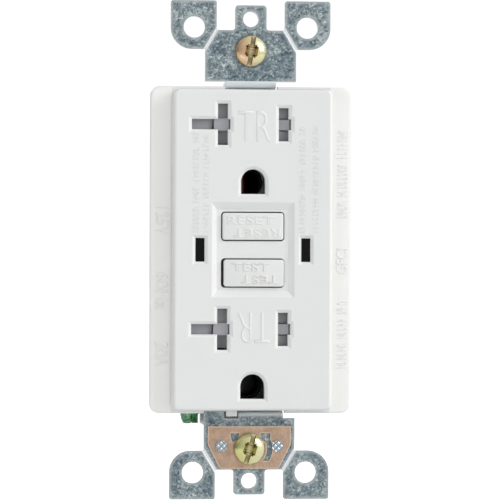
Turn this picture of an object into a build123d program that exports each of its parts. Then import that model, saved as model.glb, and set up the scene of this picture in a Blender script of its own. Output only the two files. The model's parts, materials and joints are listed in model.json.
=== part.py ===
from build123d import *
from math import atan2, degrees
import os

# Duplex ground-fault receptacle on a galvanised strap, in millimetres.
# +X is to the right seen from the front, +Y points back into the wall box and +Z is up.
# The origin is midway between the two box screws, in the rear face of the strap's ears.

# ---- Standard dimensions of a 20 A receptacle -------------------------------------------
BOX_SCREW_Z = 41.67          # half of the 83.34 box-screw spacing
PLATE_SCREW_Z = 48.42        # half of the 96.84 wall-plate screw spacing
BLADE_X = 6.35               # half of the 12.7 blade spacing
OUTLET_Z = (26.1, -16.5)     # blade rows of the upper and lower outlet
GROUND_DROP = 11.86          # ground pin below the blade row

# ---- Strap ------------------------------------------------------------------------------
STRAP_THICK = 1.2
STRAP_HALF_HEIGHT = 52.26
BODY_HALF_WIDTH = 9.56
BODY_END_Z = 35.3            # where the strap turns back into the housing
EAR_IN_X, EAR_OUT_X = 7.2, 16.8
EAR_Z = 42.1
EAR_HOLE_X, EAR_HOLE_Z, EAR_HOLE_R = 11.9, 46.67, 2.25
TAB_HALF_WIDTH, TAB_Z = 3.29, 51.3
TAB_ROOT_Z = 46.07
PLATE_HOLE_R = 1.65
SLOT_LENGTH, SLOT_WIDTH = 6.0, 3.9
SCREW_THREAD_R, SCREW_NECK_R = 1.7, 1.5
SCREW_NECK_END_Y, SCREW_TIP_Y = 0.47, 17.5
SCREW_HEAD_TURN = {1: 9, -1: 14}   # how far each head's slot leans, upper and lower
WASHER_Y, WASHER_HALF_X, WASHER_HALF_Z = (0.05, 0.45), 3.6, 4.0
RIVET_X, RIVET_Z, RIVET_HOLE_R = 5.9, -41.07, 0.85
BEND_OUT_R, BEND_IN_R = 1.5, 0.3
INNER_Y = 2.6                # front face of the strap inside the housing
INNER_END_Z = BODY_END_Z - 2 * BEND_OUT_R + STRAP_THICK
NECK_TOP_X = (-5.33, 5.33)
NECK_BOTTOM_X = (-2.3, 7.1)
STRIP_HALF = 3.8             # strip between the blade openings
GROUND_PAD_R = 5.5
GROUND_HOLE_R = 3.0

# ---- Front cover ------------------------------------------------------------------------
FACE_Y, FLANGE_Y, FLANGE_BACK_Y = -7.6, -2.6, -0.6
PLATE_BACK_Y = -5.6
PARTING_Y = INNER_Y + STRAP_THICK
FLANGE_W, FLANGE_H, FLANGE_R = 42.2, 68.4, 2.0
FACE_W, FACE_H, FACE_R = 33.3, 66.8, 1.2
FACE_WALL = 1.8
HOUSING_HALF_X, HOUSING_HALF_Z, HOUSING_WALL = 19.0, 33.2, 1.5
SLOT_CHAMFER = 0.6
WELL_W, WELL_H = 17.2, 19.8
WELL_FLOOR_W, WELL_FLOOR_H, WELL_DEPTH = 15.0, 16.8, 1.2
WELL_PAD_Y = -4.4
RESET_Z, TEST_Z = 4.9, -4.8
BUTTON_W, BUTTON_H = 12.7, 5.6
BUTTON_Y = -7.4
BUTTON_GAP = 0.25
LED_X, LED_W, LED_H = 11.06, 1.9, 4.9
GROUND_SLOT_R, GROUND_SLOT_DROP = 2.53, 2.6
BOSS_X, BOSS_Z, BOSS_R = 16.9, 30.0, 1.9

# ---- Rear housing and what fastens it ----------------------------------------------------
REAR_Y = 26.5
FLOOR_Y = 25.0
TERMINAL_Y, TERMINAL_Z = 17.2, 20.2
POCKET_X, POCKET_WALL = 13.4, 1.3
POCKET_Y = (12.1, 22.3)
POCKET_HALF_Z = 5.9
TERMINAL_PLATE_X, TERMINAL_PLATE_THICK = 13.45, 0.9
CLAMP_X, CLAMP_THICK = 15.4, 1.2
SCREW_R, SCREW_HEAD_R = 2.05, 3.9
WIRE_HOLE_X, WIRE_HOLE_DZ, WIRE_HOLE_R = 15.4, 3.3, 1.3
GROUND_SCREW_Y, GROUND_SCREW_Z = 4.9, -32.8
GROUND_POCKET_X = (-14.9, -7.2)
GROUND_POCKET_TOP_Z = -28.6
GROUND_POCKET_BACK_Y = 10.5

# ---- Inside -----------------------------------------------------------------------------
MIDDLE_Y = (3.9, 5.5)
BUS_Y = (12.2, 13.0)
BOARD_Y = (22.6, 24.2)
LATCH_Y = (17.8, 18.6)
CARRIER_Y = (15.2, 20.4)
COIL_Y = 17.3
SENSOR_Z = -23.4
CLEAR = 0.05                 # running clearance on a radius

parts = {}


def block(x, y, z):
    """A box between two limits on each axis."""
    size = [abs(high - low) for low, high in (x, y, z)]
    middle = [(low + high) / 2 for low, high in (x, y, z)]
    return Pos(*middle) * Box(*size)


def rod(axis, radius, start, end, at):
    """A cylinder along an axis; at gives its other two coordinates in X, Y, Z order."""
    middle = (start + end) / 2
    body = Cylinder(radius, abs(end - start))
    if axis == "x":
        return Pos(middle, at[0], at[1]) * Rot(0, 90, 0) * body
    if axis == "y":
        return Pos(at[0], middle, at[1]) * Rot(90, 0, 0) * body
    return Pos(at[0], at[1], middle) * body


def tube(axis, inner, outer, start, end, at):
    return rod(axis, outer, start, end, at) - rod(axis, inner, start - 1, end + 1, at)


def slab(outline, front, back):
    """An outline drawn as seen from the front, X to the right and Z up, made solid."""
    return extrude(Plane.XZ.offset(-back) * outline, back - front)


def outline(corners):
    """A closed outline from (x, z, corner radius) points."""
    face = Sketch() + make_face(Polyline(*[(x, z) for x, z, _ in corners], close=True))
    for radius in sorted({r for _, _, r in corners if r}):
        chosen = [face.vertices().sort_by_distance((x, z, 0))[0] for x, z, r in corners if r == radius]
        face = fillet(chosen, radius)
    return face


def both_sides(shape):
    return shape + mirror(shape, Plane.YZ)


def at_corners(x, z, make):
    return [make(sx * x, sz * z) for sx in (-1, 1) for sz in (-1, 1)]


def quarter_bend(x, y, z, y_side, z_side):
    """A quarter of a tube about an X axis: the bend of the strap's sheet."""
    ring = tube("x", BEND_IN_R, BEND_OUT_R, x[0], x[1], (y, z))
    reach = 2 * BEND_OUT_R
    corner = block((x[0] - 1, x[1] + 1), sorted((y, y + y_side * reach)), sorted((z, z + z_side * reach)))
    return ring & corner


# ---- Strap and what is fastened to it ----------------------------------------------------
def ear_plate():
    """Upper half of the strap's front plane: ears with break-off scores, tab and body."""
    half = [
        (TAB_HALF_WIDTH, TAB_Z, 0.7),
        (TAB_HALF_WIDTH, TAB_ROOT_Z, 0.6),
        (EAR_IN_X, TAB_ROOT_Z, 0.6),
        (EAR_IN_X, STRAP_HALF_HEIGHT, 0.5),
        (EAR_OUT_X, STRAP_HALF_HEIGHT, 0.5),
        (EAR_OUT_X, EAR_Z, 4.4),
        (BODY_HALF_WIDTH, EAR_Z, 0.2),
        (BODY_HALF_WIDTH, BODY_END_Z, 0),
    ]
    shape = outline(half + [(-x, z, r) for x, z, r in reversed(half)])
    shape -= Pos(0, PLATE_SCREW_Z) * Circle(PLATE_HOLE_R)
    shape -= Pos(0, BOX_SCREW_Z) * SlotOverall(SLOT_LENGTH, SLOT_WIDTH)
    for side in (-1, 1):
        shape -= Pos(side * EAR_HOLE_X, EAR_HOLE_Z) * Circle(EAR_HOLE_R)
    plate = slab(shape, -STRAP_THICK, 0)
    collar = tube("y", PLATE_HOLE_R, PLATE_HOLE_R + 0.6, 0, 0.9, (0, PLATE_SCREW_Z))
    return plate + collar - score_grooves()


def score_grooves():
    """The V-grooves, front and rear, along which the ears break off."""
    across, down = BODY_HALF_WIDTH - EAR_IN_X, TAB_ROOT_Z - EAR_Z
    x, z = EAR_IN_X + across / 2, EAR_Z + down / 2
    lean = degrees(atan2(across, down))
    cuts = Part()
    for y, width in ((-STRAP_THICK, 0.5), (0, 0.25)):
        cuts += Pos(x, y, z) * Rot(0, -lean, 0) * Rot(0, 0, 45) * Box(width, width, 7)
    return both_sides(cuts)


def neck(x, side):
    """The strap's double bend from its front plane back into the housing."""
    end = INNER_END_Z
    wall = (end + BEND_IN_R, end + BEND_OUT_R)
    shape = quarter_bend(x, BEND_IN_R, BODY_END_Z, -1, -1)
    shape += block(x, (BEND_IN_R, INNER_Y - BEND_IN_R), wall)
    shape += quarter_bend(x, INNER_Y - BEND_IN_R, end, 1, 1)
    return shape if side > 0 else mirror(shape, Plane.XY)


def inner_plate():
    """The strap inside: ground pads, strips between the blades and a window for the buttons."""
    shape = Sketch()
    for row in OUTLET_Z:
        ground = row - GROUND_DROP
        shape += Pos(0, ground) * Circle(GROUND_PAD_R)
        shape += Pos(0, (row + ground) / 2) * Rectangle(2 * STRIP_HALF, GROUND_DROP)
    shape += Pos(0, 29.0) * Rectangle(2 * STRIP_HALF, 9.0)
    shape += Pos(0, -13.5) * Rectangle(2 * STRIP_HALF, 6.0)
    shape += Rectangle(19.6, 24.4) - Rectangle(15.2, 18.6)
    shape &= Rectangle(60, 63.2)
    neck_middle = (31.4 + INNER_END_Z) / 2
    neck_height = INNER_END_Z - 31.4
    for (low, high), side in ((NECK_TOP_X, 1), (NECK_BOTTOM_X, -1)):
        shape += Pos((low + high) / 2, side * neck_middle) * Rectangle(high - low, neck_height)
    for row in OUTLET_Z:
        ground = row - GROUND_DROP
        shape -= Pos(0, ground) * Circle(GROUND_HOLE_R)
        for side in (-1, 1):
            shape -= Pos(side * 4.3, ground) * Circle(0.75)
    return slab(shape, INNER_Y, INNER_Y + STRAP_THICK)


def mounting_strap():
    upper = ear_plate()
    lower = mirror(upper, Plane.XY)
    left = -BODY_HALF_WIDTH
    lower -= block((-5.3, NECK_BOTTOM_X[0]), (-2, 1), (-35.0, -34.0))
    wing = block((left, -5.3), (-STRAP_THICK, 0), (-36.0, -33.5))
    tab = block((left, left + STRAP_THICK), (-STRAP_THICK, 9.5), (-36.8, -33.5))
    tab += block((left, left + STRAP_THICK), (1.0, 9.5), (-36.8, -29.2))
    tab -= rod("x", SCREW_R + CLEAR, left - 1, left + 2, (GROUND_SCREW_Y, GROUND_SCREW_Z))
    strap = upper + lower + wing + tab + inner_plate()
    strap += neck(NECK_TOP_X, 1) + neck(NECK_BOTTOM_X, -1)
    for side in (-1, 1):
        strap -= rod("y", RIVET_HOLE_R, -2, 1, (side * RIVET_X, RIVET_Z))
    return strap


def ground_clip():
    """Self-grounding copper plate over the lower box screw."""
    half = [(8.75, -36.96, 0.3), (8.75, -40.8, 1.5), (6.2, -45.85, 1.2)]
    shape = outline(half + [(-x, z, r) for x, z, r in reversed(half)])
    screw = Pos(0, -BOX_SCREW_Z)
    shape -= screw * SlotOverall(SLOT_LENGTH, SLOT_WIDTH)
    ring = screw * (Circle(4.85) - Circle(3.75))
    shape -= ring & (Pos(3.4, -41.6) * Rectangle(3.2, 5.2))
    shape -= outline([(2.2, -38.4, 0.2), (4.5, -38.4, 0.2), (4.2, -40.6, 0.1), (2.7, -39.9, 0.1)])
    shape -= outline([(-2.0, -38.4, 0.2), (-4.1, -38.4, 0.2), (-3.6, -40.4, 0.1), (-2.5, -39.6, 0.1)])
    for side in (-1, 1):
        shape -= Pos(side * RIVET_X, RIVET_Z) * Circle(RIVET_HOLE_R)
    return slab(shape, -STRAP_THICK - 0.3, -STRAP_THICK)


def rivet(x, z, front, back, head_r, shank_r, head):
    """A rivet through a stack from front to back, headed on both sides."""
    shape = rod("y", shank_r, front, back, (x, z))
    shape += rod("y", head_r, front - head, front, (x, z))
    return shape + rod("y", head_r * 0.9, back, back + head, (x, z))


def strap_rivets():
    clip_front = -STRAP_THICK - 0.3
    made = [rivet(side * RIVET_X, RIVET_Z, clip_front, 0, 1.2, 0.8, 0.45) for side in (-1, 1)]
    for row in OUTLET_Z:
        ground = row - GROUND_DROP
        made += [rivet(side * 4.3, ground, INNER_Y, PARTING_Y + 0.8, 1.0, 0.7, 0.4) for side in (-1, 1)]
    return Compound(children=made)


def ground_contact(row):
    """Riveted clip that grips the ground pin: a base plate and a split collar."""
    ground = row - GROUND_DROP
    base = block((-5.3, 5.3), (PARTING_Y, PARTING_Y + 0.8), (ground - 3.2, ground + 3.2))
    collar = rod("y", 3.05, PARTING_Y, 11.5, (0, ground))
    shape = base + collar - rod("y", 2.45, 0, 12, (0, ground))
    shape -= block((-0.6, 0.6), (PARTING_Y + 1.2, 12), (ground - 4, ground + 4))
    for side in (-1, 1):
        shape -= rod("y", 0.75, 3, 6, (side * 4.3, ground))
    return shape


def pan_head(radius, height):
    """A domed screw head on the Z axis, its flat underside at zero."""
    crown = (radius * radius + height * height) / (2 * height)
    dome = Pos(0, 0, height - crown) * Sphere(crown)
    return dome & Pos(0, 0, height / 2) * Cylinder(radius, height)


def box_screw(side, seat):
    """Captive 6-32 box screw with a slotted and crossed pan head."""
    head = pan_head(3.35, 1.9)
    head -= Pos(0, 0, 1.6) * Box(0.8, 8, 1.2)
    head -= Pos(0, 0, 1.5) * (Box(3.4, 0.9, 1.4) + Box(0.9, 3.4, 1.4))
    at = (0, side * BOX_SCREW_Z)
    shape = Pos(0, seat, side * BOX_SCREW_Z) * Rot(0, SCREW_HEAD_TURN[side], 0) * Rot(90, 0, 0) * head
    shape += rod("y", SCREW_NECK_R, seat, SCREW_NECK_END_Y, at)
    return shape + rod("y", SCREW_THREAD_R, SCREW_NECK_END_Y, SCREW_TIP_Y, at)


def retaining_washer(side):
    """Fibre washer on the screw's neck that keeps the screw in the strap's slot."""
    z = side * BOX_SCREW_Z
    shape = block((-WASHER_HALF_X, WASHER_HALF_X), WASHER_Y, (z - WASHER_HALF_Z, z + WASHER_HALF_Z))
    return shape - rod("y", SCREW_NECK_R + CLEAR, -1, 2, (0, z))


def terminal_screw(tip, seat, y, z):
    """A wire-binding screw along X, its slotted head beyond seat and its shank up to tip."""
    side = 1 if seat > tip else -1
    head_end = seat + side * 2.2
    shape = rod("x", SCREW_R, tip, seat, (y, z))
    shape += rod("x", SCREW_HEAD_R, seat, head_end, (y, z))
    return shape - block(sorted((seat + side * 1.2, head_end + side)), (y - 0.6, y + 0.6), (z - 5, z + 5))


def clamp_plate(x, y, z, half):
    """The square pressure plate under a terminal screw's head, ribbed on its wire side."""
    shape = block(x, (y - half, y + half), (z - half, z + half))
    return shape - rod("x", SCREW_R + CLEAR, x[0] - 1, x[1] + 1, (y, z))


# ---- Front cover, buttons, light pipes and shutters --------------------------------------
def neutral_slot(row, extra):
    """T-slot for a parallel or a perpendicular neutral blade."""
    upright = Pos(-BLADE_X, row) * Rectangle(2.13 + 2 * extra, 8.6 + 2 * extra)
    return upright + Pos(-8.805, row) * Rectangle(8.05 + 2 * extra, 2.16 + 2 * extra)


def hot_slot(row, extra):
    upright = Pos(BLADE_X, row) * Rectangle(2.1 + 2 * extra, 6.93 + 2 * extra)
    return upright + Pos(6.61, row) * Rectangle(2.62 + 2 * extra, 2.27 + 2 * extra)


def ground_slot(row):
    ground = row - GROUND_DROP
    lower = Pos(0, ground - GROUND_SLOT_DROP / 2) * Rectangle(2 * GROUND_SLOT_R, GROUND_SLOT_DROP)
    return Pos(0, ground) * Circle(GROUND_SLOT_R) + lower


def button_opening(z, gap):
    return Pos(0, z) * RectangleRounded(BUTTON_W + 2 * gap, BUTTON_H + 2 * gap, 0.5 + gap)


def raised_face():
    """The visible face with rounded edges and every slot chamfered."""
    face = slab(RectangleRounded(FACE_W, FACE_H, FACE_R), FACE_Y, FLANGE_BACK_Y)
    front = face.edges().filter_by_position(Axis.Y, FACE_Y - 0.01, FACE_Y + 0.01)
    face = fillet(front, 0.8)
    cuts = Sketch()
    for row in OUTLET_Z:
        cuts += neutral_slot(row, 0)
        cuts += hot_slot(row, 0)
        cuts += ground_slot(row)
    for side in (-1, 1):
        cuts += Pos(side * LED_X, 0) * Rectangle(LED_W, LED_H)
    face -= slab(cuts, FACE_Y - 1, PLATE_BACK_Y + 0.1)
    rims = face.edges().filter_by_position(Axis.Y, FACE_Y - 0.01, FACE_Y + 0.01)
    rims = [e for e in rims if abs(e.center().X) < 14 and abs(e.center().Z) < 31.5]
    return chamfer(rims, SLOT_CHAMFER)


def well():
    """The sloped recess around the two buttons."""
    front = Plane.XZ.offset(-FACE_Y) * Rectangle(WELL_W, WELL_H)
    floor = Plane.XZ.offset(-FACE_Y - WELL_DEPTH) * Rectangle(WELL_FLOOR_W, WELL_FLOOR_H)
    return loft([front, floor])


def ground_pocket(wall):
    """The recess in the lower left corner that houses the ground screw."""
    low, high = GROUND_POCKET_X
    return block((low - wall, high + wall), (FLANGE_BACK_Y, GROUND_POCKET_BACK_Y + wall),
                 (-HOUSING_HALF_Z - (0 if wall else 1), GROUND_POCKET_TOP_Z + wall))


def strap_notches():
    """Where the strap's ends pass through the housing wall and the flange clears its bends."""
    shape = Part()
    for (low, high), sign in ((NECK_TOP_X, 1), (NECK_BOTTOM_X, -1)):
        z = sorted((sign * 31.0, sign * 34.0))
        shape += block((low - 0.2, high + 0.2), (INNER_Y - 0.1, PARTING_Y), z)
    shape += block((-5.55, 5.55), (FLANGE_Y - 1, FLANGE_BACK_Y + 0.01), (33.45, 35))
    return shape + block((-9.7, 7.3), (FLANGE_Y - 1, FLANGE_BACK_Y + 0.01), (-35, -33.45))


def front_cover():
    half_x, half_z = HOUSING_HALF_X, HOUSING_HALF_Z
    inner_x, inner_z = half_x - HOUSING_WALL, half_z - HOUSING_WALL
    flange = slab(RectangleRounded(FLANGE_W, FLANGE_H, FLANGE_R), FLANGE_Y, FLANGE_BACK_Y)
    rim = flange.edges().filter_by_position(Axis.Y, FLANGE_Y - 0.01, FLANGE_Y + 0.01)
    flange = fillet(rim, 0.5)
    skirt = block((-half_x, half_x), (FLANGE_BACK_Y, PARTING_Y), (-half_z, half_z))
    skirt -= block((-inner_x, inner_x), (FLANGE_BACK_Y - 1, PARTING_Y + 1), (-inner_z, inner_z))
    cover = raised_face() + flange + skirt
    cavity_x, cavity_z = FACE_W / 2 - FACE_WALL, FACE_H / 2 - FACE_WALL
    cover -= block((-cavity_x, cavity_x), (PLATE_BACK_Y, FLANGE_BACK_Y + 0.1), (-cavity_z, cavity_z))
    cover += block((-9.6, 9.6), (PLATE_BACK_Y, WELL_PAD_Y), (-11, 11))
    cover -= well()
    for z in (RESET_Z, TEST_Z):
        cover -= slab(button_opening(z, BUTTON_GAP), FACE_Y, WELL_PAD_Y + 1)
    keep = block((-half_x, half_x), (FLANGE_BACK_Y, PARTING_Y), (-half_z, half_z))
    cover += ground_pocket(1.0) & keep
    for boss in at_corners(BOSS_X, BOSS_Z, lambda x, z: rod("y", BOSS_R, FLANGE_BACK_Y, PARTING_Y, (x, z))):
        cover += boss
    for hole in at_corners(BOSS_X, BOSS_Z, lambda x, z: rod("y", 1.2, -1.4, 5, (x, z))):
        cover -= hole
    cover -= ground_pocket(0)
    cover += block((-4.9, -2.7), (-1.3, 2.0), (-34.7, -33.0))
    return cover - strap_notches()


def light_pipe(x):
    """Clear guide from the indicator lamp to its window in the face."""
    shape = block((x - 0.9, x + 0.9), (FACE_Y + 0.7, 5.4), (-2.4, 2.4))
    return shape + block((x - 1.4, x + 1.4), (PLATE_BACK_Y, PLATE_BACK_Y + 0.8), (-3.0, 3.0))


def button(z):
    """A button cap with the flange that keeps it behind the face."""
    cap = slab(button_opening(z, 0), BUTTON_Y, WELL_PAD_Y + 0.1)
    rim = cap.edges().filter_by_position(Axis.Y, BUTTON_Y - 0.01, BUTTON_Y + 0.01)
    cap = fillet(rim, 0.4)
    return cap + block((-7.2, 7.2), (WELL_PAD_Y + 0.1, WELL_PAD_Y + 1.1), (z - 3.2, z + 3.2))


def reset_button():
    shape = button(RESET_Z) + rod("y", 2.1, -3.3, -1.0, (0, RESET_Z))
    return shape - rod("y", 1.0 + CLEAR, -3.0, 0, (0, RESET_Z))


def reset_pin():
    """The latching pin: it passes through the carrier and catches on the latch plate."""
    pin = rod("y", 1.0, -3.0, 17.2, (0, RESET_Z))
    return pin - tube("y", 0.7, 2.0, 15.6, 16.4, (0, RESET_Z))


def test_button():
    return button(TEST_Z) + rod("y", 1.3, -3.3, 13.2, (0, TEST_Z))


def test_leaf():
    leaf = block((-1.5, 1.5), (13.3, 13.7), (-10.9, -3.4))
    return leaf + block((-1.5, 1.5), (13.3, BOARD_Y[0]), (-10.9, -10.5))


def ramp(x, z, low, high):
    """A wedge whose front face slopes from y = high on the left to y = low on the right."""
    profile = make_face(Polyline((x[0], low), (x[1], low), (x[1], high), (x[0], high - 0.9), close=True))
    return extrude(Plane.XY.offset(z[0]) * profile, z[1] - z[0])


def shutter(row):
    """Sliding shutter over both upright slots, with raised cams at their middles."""
    neutral = block((-8.1, -4.6), (-4.1, -3.4), (row - 3.97, row + 4.7))
    bridge = block((-4.7, 5.0), (-4.4, -3.4), (row - 2.2, row + 2.2))
    hot = block((4.9, 8.15), (-4.1, -3.4), (row - 3.9, row + 3.9))
    shape = neutral + bridge + hot
    shape += ramp((-8.1, -4.6), (row + 1.3, row + 4.7), -4.1, -4.3)
    shape += ramp((4.9, 8.15), (row + 1.3, row + 3.9), -4.1, -4.3)
    shape += ramp((4.9, 8.15), (row - 3.9, row - 1.3), -4.1, -4.3)
    shape += block((-8.1, -4.9), (-5.45, -4.1), (row - 1.3, row + 1.3))
    return shape + block((5.1, 7.75), (-5.45, -4.1), (row - 1.1, row + 1.1))


def arm_shutter(row):
    """Small shutter over the outer half of the T-slot's cross arm."""
    shape = block((-13.2, -8.3), (-4.1, -3.4), (row - 1.3, row + 1.3))
    return shape + ramp((-13.2, -8.3), (row - 1.3, row + 1.3), -4.1, -4.4)


def shutter_plate(row):
    """Grey carrier plate behind the shutters, with guide ribs and spring seats."""
    shape = Pos(0, row - 1.3) * Rectangle(28.8, 13.2)
    shape -= neutral_slot(row, 0.3)
    shape -= hot_slot(row, 0.3)
    plate = slab(shape, -3.3, -2.1)
    plate += block((-14.4, 14.4), (PLATE_BACK_Y, -3.3), (row + 4.9, row + 5.3))
    plate += block((13.9, 14.4), (PLATE_BACK_Y, -3.3), (row - 7.9, row + 5.3))
    return plate + block((-12.4, -9.0), (PLATE_BACK_Y, -3.3), (row - 7.9, row - 7.3))


def shutter_springs():
    """The return springs: one behind each shutter and one under each arm shutter."""
    made = []
    for row in OUTLET_Z:
        made.append(tube("x", 0.5, 0.8, 8.2, 13.85, (-4.2, row)))
        made.append(tube("z", 0.5, 0.8, row - 7.25, row - 1.35, (-10.7, -4.2)))
    return Compound(children=made)


# ---- Contacts and terminals --------------------------------------------------------------
def terminal_plate(side, z):
    """The upright plate in a terminal pocket, with the hole that its screw threads into."""
    x = sorted((side * TERMINAL_PLATE_X, side * (TERMINAL_PLATE_X + TERMINAL_PLATE_THICK)))
    plate = block(x, (BUS_Y[0], TERMINAL_Y + 4.9), (z - 4.8, z + 4.8))
    return plate - rod("x", SCREW_R + CLEAR, x[0] - 1, x[1] + 1, (TERMINAL_Y, z))


def blade_grips(side, row):
    """Spring leaves either side of a blade; the neutral side also grips a crosswise blade."""
    thick = 0.8
    inner = (side * (BLADE_X - 0.8), side * (BLADE_X - 0.8 - thick))
    outer = (side * (BLADE_X + 0.8), side * (BLADE_X + 0.8 + thick))
    y = (6.4, BUS_Y[0])
    shape = Part()
    for x in (inner, outer):
        shape += block(sorted(x), y, (row - 3.4, row + 3.4))
    if side < 0:
        shape -= block((-9, -4), (0, BUS_Y[0]), (row - 1.4, row + 1.4))
        for z in ((0.85, 1.45), (-1.45, -0.85)):
            shape += block((-12.0, -8.8), y, (row + z[0], row + z[1]))
    return shape


def contact_frame(side):
    """One-piece face contact frame: both outlets, the bus between them and the load terminal."""
    shape = Part()
    for row in OUTLET_Z:
        shape += block(sorted((side * 4.4, side * 11.2)), BUS_Y, (row - 3.6, row + 3.6))
        shape += blade_grips(side, row)
    shape += block(sorted((side * 8.6, side * 10.8)), BUS_Y, (OUTLET_Z[1], OUTLET_Z[0]))
    shape += block(sorted((side * 11.0, side * (TERMINAL_PLATE_X + 0.1))), BUS_Y, (22.8, 24.8))
    return shape + terminal_plate(side, TERMINAL_Z)


def line_terminal(side):
    """Line terminal: plate, strip through the sensor core, riser and fixed contact pad."""
    strip_z = (-24.8, -22.8)
    through = (21.0, 21.8)
    shape = terminal_plate(side, -TERMINAL_Z)
    shape += block(sorted((side * 1.2, side * (TERMINAL_PLATE_X + 0.1))), BUS_Y, strip_z)
    shape += block(sorted((side * 1.2, side * 2.0)), (BUS_Y[0], through[1]), strip_z)
    shape += block(sorted((side * 1.2, side * 7.8)), through, strip_z)
    shape += block(sorted((side * 5.4, side * 7.8)), through, (strip_z[0], -3.6))
    shape += block(sorted((side * 5.4, side * 7.8)), (BUS_Y[0], through[1]), (-4.4, -3.6))
    return shape + block(sorted((side * 5.4, side * 7.8)), BUS_Y, (-4.4, 1.3))


def contact_rivets(front):
    """Four silver contacts, an inner and an outer one on each side."""
    return Compound(children=[rod("y", 1.05, front, front + 0.6, (x, 0)) for x in (-9.7, -6.6, 6.6, 9.7)])


def contact_bridges():
    return Compound(children=[block(sorted((s * 5.6, s * 10.7)), (15.7, 16.5), (-1.2, 1.2)) for s in (-1, 1)])


def contact_carrier():
    """The moving block: wings under both bridges, the pin's bore and the latch's slot."""
    shape = block((-4.2, 4.2), CARRIER_Y, (-1.5, 8.9)) + block((-10.9, 10.9), (16.5, 18.0), (-1.5, 1.5))
    shape -= rod("y", 1.5, 15, 21, (0, RESET_Z))
    shape -= block((-2.95, 2.95), (LATCH_Y[0] - 0.1, LATCH_Y[1] + 0.1), (-0.15, 10))
    return shape - block((-3.1, 3.1), (15.75, 19.5), (6.2, 10))


def latch_plate():
    """Sliding latch with the pin's hole and the tab that the plunger strikes."""
    shape = block((-2.8, 2.8), LATCH_Y, (1.6, 8.6)) - block((-1.2, 1.2), (17, 19), (3.7, 7.6))
    return shape + block((-2.8, 2.8), (15.9, LATCH_Y[1]), (7.9, 8.6))


# ---- Trip coil ---------------------------------------------------------------------------
def coil_bobbin():
    at = (0, COIL_Y)
    shape = rod("z", 1.9, 10.2, 20.8, at) + rod("z", 3.2, 10.2, 10.9, at) + rod("z", 3.2, 20.1, 20.8, at)
    return shape - rod("z", 1.35, 10, 21, at)


def coil_winding():
    return tube("z", 1.9, 3.0, 10.9, 20.1, (0, COIL_Y))


def coil_yoke():
    shape = block((-4.2, 3.6), (14.0, 20.8), (9.4, 10.2)) + block((-4.2, 3.6), (14.0, 20.8), (20.8, 21.6))
    shape += block((-4.2, -3.4), (14.0, 20.8), (9.4, 21.6))
    return shape - rod("z", 1.35, 9, 10.5, (0, COIL_Y))


def trip_plunger():
    return rod("z", 1.2, 10.6, 18.0, (0, COIL_Y)) + rod("z", 0.6, 8.65, 10.6, (0, COIL_Y))


def coil_spring(axis, inner, outer, start, end, at):
    """A spring's envelope; its wire is drawn where the part is shown."""
    return tube(axis, inner, outer, start, end, at)


# ---- Circuit board -----------------------------------------------------------------------
def circuit_board():
    board = block((-17.2, 17.2), BOARD_Y, (-31, 31))
    for notch in at_corners(15.0, TERMINAL_Z, lambda x, z: block((x - 3.0, x + 3.0), (22, 25), (z - 7.3, z + 7.3))):
        board -= notch
    for hole in at_corners(BOSS_X, BOSS_Z, lambda x, z: rod("y", BOSS_R + 0.4, 22, 25, (x, z))):
        board -= hole
    return board


def sensor_core():
    return tube("y", 3.4, 7.4, 14.6, 20.2, (0, SENSOR_Z))


def varistor():
    disc = rod("z", 4.2, 3.2, 6.4, (-12.4, 17.8))
    return disc + block((-12.7, -12.1), (21.5, BOARD_Y[0]), (4.5, 5.1))


def capacitors():
    film = block((11.0, 16.8), (15.8, 22.0), (3.0, 7.4)) + rod("y", 0.3, 21.9, BOARD_Y[0], (13.9, 5.2))
    storage = rod("y", 2.5, 14.2, BOARD_Y[0], (11.9, -7.0))
    return Compound(children=[film, storage])


def thyristor():
    case = rod("y", 2.3, 16.5, 20.6, (-12.2, -7.0)) & block((-15, -10.9), (16, 21), (-10, -4))
    for z in (-8.2, -7.0, -5.8):
        case += rod("y", 0.25, 20.5, BOARD_Y[0], (-12.2, z))
    return case


def resistors():
    made = []
    for x, z in ((-3.3, -7.5), (3.3, -7.5), (-7.0, 11.5), (7.0, 11.5)):
        body = rod("z", 0.9, z - 1.8, z + 1.8, (x, 21.2))
        for end in (-1.5, 1.5):
            body += rod("y", 0.25, 21.2, BOARD_Y[0], (x, z + end))
        made.append(body)
    return Compound(children=made)


def control_chip():
    chip = block((-2.0, 2.0), (20.9, 22.3), (24.0, 29.0))
    for side in (-1, 1):
        for step in range(4):
            z = 24.6 + 1.27 * step
            chip += block(sorted((side * 1.9, side * 2.8)), (21.6, BOARD_Y[0]), (z - 0.2, z + 0.2))
    return chip


def indicator_led(x):
    side = 1 if x > 0 else -1
    lamp = rod("y", 1.5, 6.0, 10.0, (x, 0))
    for z in (-0.8, 0.8):
        lamp += block(sorted((x, side * 14.4)), (9.8, 10.3), (z - 0.25, z + 0.25))
        lamp += block(sorted((side * 13.9, side * 14.4)), (9.8, BOARD_Y[0]), (z - 0.25, z + 0.25))
    return lamp


# ---- Housing -----------------------------------------------------------------------------
def middle_frame():
    """Insulating frame between strap and contacts, on four posts down to the board."""
    shape = Rectangle(34.6, 62.6)
    for row in OUTLET_Z:
        shape -= neutral_slot(row, 0.5)
        shape -= hot_slot(row, 0.5)
        shape -= Pos(0, row - GROUND_DROP) * Rectangle(11.2, 6.9)
    shape -= Pos(0, RESET_Z) * Circle(1.2)
    shape -= Pos(0, TEST_Z) * Circle(1.5)
    for side in (-1, 1):
        shape -= Pos(side * LED_X, 0) * Rectangle(2.4, 5.4)
        shape -= Pos(side * BOSS_X, BOSS_Z) * Circle(BOSS_R + 0.3)
        shape -= Pos(side * BOSS_X, -BOSS_Z) * Circle(BOSS_R + 0.3)
    frame = slab(shape, *MIDDLE_Y)
    frame -= ground_pocket(1.3)
    for post in at_corners(15.3, 9.5, lambda x, z: rod("y", 1.5, MIDDLE_Y[1], BOARD_Y[0], (x, z))):
        frame += post
    return frame


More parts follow.
